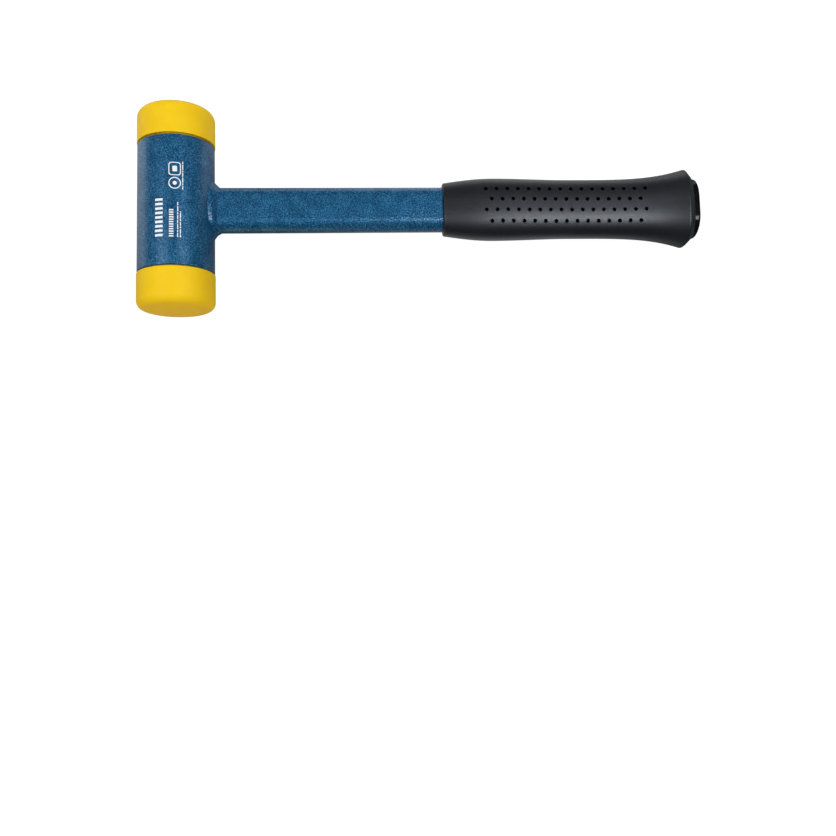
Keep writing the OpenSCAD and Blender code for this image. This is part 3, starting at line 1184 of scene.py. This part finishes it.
@dataclass
class PrintedMarks:
    """Plain marks printed on the front of the head: bars, dashes, a ring and a rounded square."""

    head: Head
    ink_height: float = 0.02 * MM
    dash_gap_mm: float = 0.5

    def build(self) -> None:
        """Builds and dresses the marks."""
        self.skin = Skin()
        self._hatch(-9.0, -3.9, low=-24.8, high=0.6, pitch=2.9, bar=1.55)
        self._hatch(0.1, 2.9, low=-25.2, high=-6.8, pitch=1.55, bar=0.85)
        self._dashes(5.2, 5.8, low=-25.4, high=-2.0, lengths=(2.6, 1.5, 3.4, 2.2))
        self._dashes(6.9, 7.5, low=-25.4, high=-8.5, lengths=(1.8, 3.0, 1.2, 2.4))
        self._dashes(8.3, 8.9, low=6.0, high=24.4, lengths=(2.4, 1.1, 3.4))
        self._outline(3.6, 10.0, 3.9, 3.9, 3.25, 2.0)
        self._outline(3.6, 10.0, 1.3, 1.3, 0.0, 2.0)
        self._outline(3.6, 19.4, 3.9, 4.4, 3.3, 5.0)
        self._outline(3.6, 19.4, 1.5, 1.9, 0.0, 5.0)
        marks = self.skin.make("head_print")
        dress(marks, PrintInk().material())
        settle(marks, None)

    def _on_tube(self, across: float, along: float) -> Point:
        """Returns the place of a mark's point: across round the tube and along it, in millimetres."""
        radius = self.head.radius + self.ink_height
        turn = across * MM / self.head.radius
        centre = self.head.centre
        return (centre.x + radius * math.sin(turn), centre.y + along * MM, centre.z + radius * math.cos(turn))

    def _bar(self, left: float, right: float, low: float, high: float) -> None:
        """Adds a filled rectangle."""
        columns = max(2, round((right - left) / 0.5))
        sides = [
            self.skin.ring([self._on_tube(x, y) for x in spaced(left, right, columns)])
            for y in (low, high)
        ]
        self.skin.strip(*sides, closed=False)

    def _hatch(self, left: float, right: float, low: float, high: float, pitch: float, bar: float) -> None:
        """Adds a row of short bars, each across the tube."""
        count = int((high - low) / pitch)
        for i in range(count + 1):
            start = low + i * pitch
            self._bar(left, right, start, min(start + bar, high))

    def _dashes(self, left: float, right: float, low: float, high: float, lengths: Sequence[float]) -> None:
        """Adds a line of dashes along the tube, with lengths that repeat."""
        at, turn = low, 0
        while at < high:
            length = lengths[turn % len(lengths)]
            self._bar(left, right, at, min(at + length, high))
            at, turn = at + length + self.dash_gap_mm, turn + 1

    def _outline(self, x: float, y: float, half_x: float, half_y: float, inner: float, power: float) -> None:
        """Adds a ring or a rounded square, filled where its inner share is nothing.

        Args:
            x: Place of its centre across the tube.
            y: Place of its centre along the tube.
            half_x: Half its width.
            half_y: Half its length.
            inner: Half the width of its opening.
            power: 2 for round, more for squarer.
        """
        def loop(a: float, b: float) -> list[int]:
            """Adds one loop of points."""
            run = []
            for turn in spaced(0, FULL_TURN, 48)[:-1]:
                c, s = math.cos(turn), math.sin(turn)
                run.append(self._on_tube(x + a * math.copysign(abs(c) ** (2 / power), c),
                                         y + b * math.copysign(abs(s) ** (2 / power), s)))
            return self.skin.ring(run)

        outer = loop(half_x, half_y)
        if inner:
            self.skin.strip(outer, loop(inner, half_y - half_x + inner))
        else:
            middle = loop(half_x / 2, half_y / 2)
            self.skin.strip(outer, middle)
            self.skin.fan(middle, self._on_tube(x, y))


# Studio


@dataclass(frozen=True)
class Softbox:
    """Rectangular light: its place from the head's middle, its width and height, and its power in watts."""

    name: str
    place: Point
    size: Pair
    power: float


@dataclass
class Studio:
    """Pale floor, soft lights and the camera."""

    head: Head
    floor_half: float = 4.0
    floor_gap: float = 0.2 * MM
    lights: tuple[Softbox, ...] = (
        Softbox("softbox_left", (-0.65, -0.045, 1.05), (0.42, 0.46), 8.8),
        Softbox("softbox_right", (0.60, -0.085, 1.05), (0.30, 0.46), 9.2),
        Softbox("softbox_back", (0.22, 0.95, 0.13), (1.0, 0.2), 1.3),
    )
    aim_along: float = 0.15
    focal_mm: float = 39.647
    stand: Point = (0.11357, -0.20668, 0.59910)
    tilt_deg: Point = (6.280, -4.057, -1.117)

    def build(self) -> None:
        """Builds the set."""
        self._camera()
        self._floor()
        self._sky()
        for softbox in self.lights:
            self._hang(softbox)

    def _camera(self) -> None:
        """Places the camera over the mallet, a little below its middle and looking down."""
        data = bpy.data.cameras.new("camera")
        data.lens = self.focal_mm
        data.sensor_width = 36
        data.clip_start, data.clip_end = 0.01, 50
        camera = bpy.data.objects.new("camera", data)
        camera.rotation_mode = "ZYX"
        camera.rotation_euler = [math.radians(a) for a in self.tilt_deg]
        camera.location = self.head.centre + Vector(self.stand)
        bpy.context.scene.collection.objects.link(camera)
        bpy.context.scene.camera = camera

    def _floor(self) -> None:
        """Lays a pale floor that glows: white to the camera, and towards the mallet with painted light and
        painted shade by place.
        """
        skin = Skin()
        low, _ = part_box("striking_face_a")
        steps = spaced(-self.floor_half, self.floor_half, 4)
        rows = [skin.ring([(x, y, low.z - self.floor_gap) for x in steps]) for y in steps]
        for a, b in zip(rows, rows[1:]):
            skin.strip(a, b, closed=False)
        floor = skin.make("floor")
        paint = Paints("floor_white")
        mottle = paint.noise(0.01, 2.0)
        tone = paint.ramp(mottle, "Fac", ((0.3, (0.12, 0.12, 0.12, 1)), (0.7, (0.14, 0.14, 0.14, 1))))
        paint.join(tone, "Color", paint.shader, "Base Color")
        self._glow(paint)
        paint.set(Roughness=0.9)
        dress(floor, paint.material)

    def _glow(self, paint: Paints) -> None:
        """Makes the floor glow: fully to the camera, and by place to the mallet, as painted shade where it is
        dimmed near the head, the cap and the weld, and as painted yellow bounce light under the head.

        Args:
            paint: The floor's material.
        """
        split = paint.add("ShaderNodeSeparateXYZ")
        paint.join(paint.place, "Object", split, "Vector")
        # Painted shade: the glow is lower near the head's front and sides than further off, which darkens the
        # mallet's edges and reflections.
        across = paint.span(split, "Y", 0.08, 1.2, -0.12, 0.08)
        right = paint.span(split, "X", 0.38, 0.95, -0.12, 0.05)
        left = paint.span(split, "X", 1.35, 0.35, -0.34, -0.20)
        along = paint.sums("MAXIMUM", (left, 0), (right, 0))
        glow = paint.sums("MULTIPLY", (across, 0), (along, 0))
        # Painted shade: the glow is dimmed beside the cap and beside the weld.
        cap_painted_shade = self._patch(paint, (0.46, -0.02), (0.26, 0.36), (0.02, 1.0))
        weld_painted_shade = self._patch(paint, (-0.115, 0.0), (0.03, 0.075), (0.3, 1.0))
        # Painted light: a strong glow under the head stands in for light bounced off the yellow face.
        head_painted_bounce = self._patch(paint, (-0.17, -0.25), (0.13, 0.21), (1.5, 0.0))
        glow = paint.sums("MULTIPLY", (glow, 0), (cap_painted_shade, 0))
        glow = paint.sums("MULTIPLY", (glow, 0), (weld_painted_shade, 0))
        glow = paint.sums("MAXIMUM", (glow, 0), (head_painted_bounce, 0))
        seen = paint.add("ShaderNodeLightPath")
        level = paint.sums("MAXIMUM", (glow, 0), (seen, "Is Camera Ray"))
        paint.join(level, 0, paint.shader, "Emission Strength")
        # The yellow tint of that painted bounce light, for all but camera rays.
        painted_bounce_tint = paint.ramp(head_painted_bounce, 0, ((0.0, (1, 1, 1, 1)), (0.9, (1, 0.84, 0.30, 1))))
        cast = paint.add("ShaderNodeMixRGB")
        paint.join(seen, "Is Camera Ray", cast, "Fac")
        paint.join(painted_bounce_tint, "Color", cast, 1)
        cast.inputs[2].default_value = (1, 1, 1, 1)
        paint.join(cast, 0, paint.shader, "Emission Color")

    def _patch(self, paint: Paints, middle: Pair, reach: Pair, level: Pair) -> Node:
        """Adds a round patch of floor whose level changes with distance from its middle.

        Args:
            paint: The floor's material.
            middle: The patch's middle.
            reach: Distances between which the level changes.
            level: The level inside and outside.

        Returns:
            The node with the level.
        """
        away = paint.add("ShaderNodeVectorMath", operation="DISTANCE")
        away.inputs[1].default_value = (*middle, 0.0)
        paint.join(paint.place, "Object", away, 0)
        return paint.span(away, "Value", *level, *reach)

    def _sky(self) -> None:
        """Lights the room softly, paler near the horizon, and shows it white behind the floor."""
        world = bpy.data.worlds.new("room")
        bpy.context.scene.world = world
        world.use_nodes = True
        nodes, links = world.node_tree.nodes, world.node_tree.links
        nodes.clear()
        place = nodes.new("ShaderNodeTexCoord")
        split = nodes.new("ShaderNodeSeparateXYZ")
        ramp = nodes.new("ShaderNodeValToRGB")
        stops = ((0.0, (0.11, 0.11, 0.11, 1)), (0.15, (0.07, 0.07, 0.072, 1)))
        for element, (position, colour) in zip(ramp.color_ramp.elements, stops):
            element.position, element.color = position, colour
        shine = nodes.new("ShaderNodeBackground")
        out = nodes.new("ShaderNodeOutputWorld")
        links.new(place.outputs["Generated"], split.inputs[0])
        links.new(split.outputs["Z"], ramp.inputs["Fac"])
        seen = nodes.new("ShaderNodeLightPath")
        shown = nodes.new("ShaderNodeMixRGB")
        shown.inputs[2].default_value = (0.95, 0.95, 0.95, 1)
        links.new(seen.outputs["Is Camera Ray"], shown.inputs["Fac"])
        links.new(ramp.outputs["Color"], shown.inputs[1])
        links.new(shown.outputs[0], shine.inputs["Color"])
        links.new(shine.outputs[0], out.inputs[0])
        bpy.context.scene.view_settings.view_transform = "Standard"

    def _hang(self, softbox: Softbox) -> None:
        """Hangs a softbox so that it faces the handle's front part."""
        data = bpy.data.lights.new(softbox.name, "AREA")
        data.shape = "RECTANGLE"
        data.size, data.size_y = softbox.size
        data.energy = softbox.power
        lamp = bpy.data.objects.new(softbox.name, data)
        lamp.location = self.head.centre + Vector(softbox.place)
        towards = Vector((self.head.centre.x + self.aim_along, 0, 0)) - lamp.location
        lamp.rotation_euler = towards.to_track_quat("-Z", "Y").to_euler()
        bpy.context.scene.collection.objects.link(lamp)


def main() -> None:
    """Builds the mallet and its set in order."""
    logging.basicConfig(level=logging.INFO, format="%(message)s")
    enamel = HammertoneEnamel().material()
    head = Head(enamel)
    head.build()
    DeadBlow().build()
    PrintedMarks(head).build()
    handle = Handle(enamel, head)
    handle.build()
    # Painted shade for the insides of the dimples: a darker vinyl with almost no gloss.
    dimple_painted_shade = MouldedVinyl(
        "dimple_vinyl_painted_shade", (0.0011, 0.0013, 0.0018, 1), (0.0016, 0.0018, 0.0024, 1), roughness=0.55, gloss=0.05
    )
    grip = Grip(MouldedVinyl().material(), dimple_painted_shade.material(), handle)
    grip.build()
    EndCap(grip).build()
    Studio(head).build()
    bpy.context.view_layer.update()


if __name__ == "__main__":
    main()
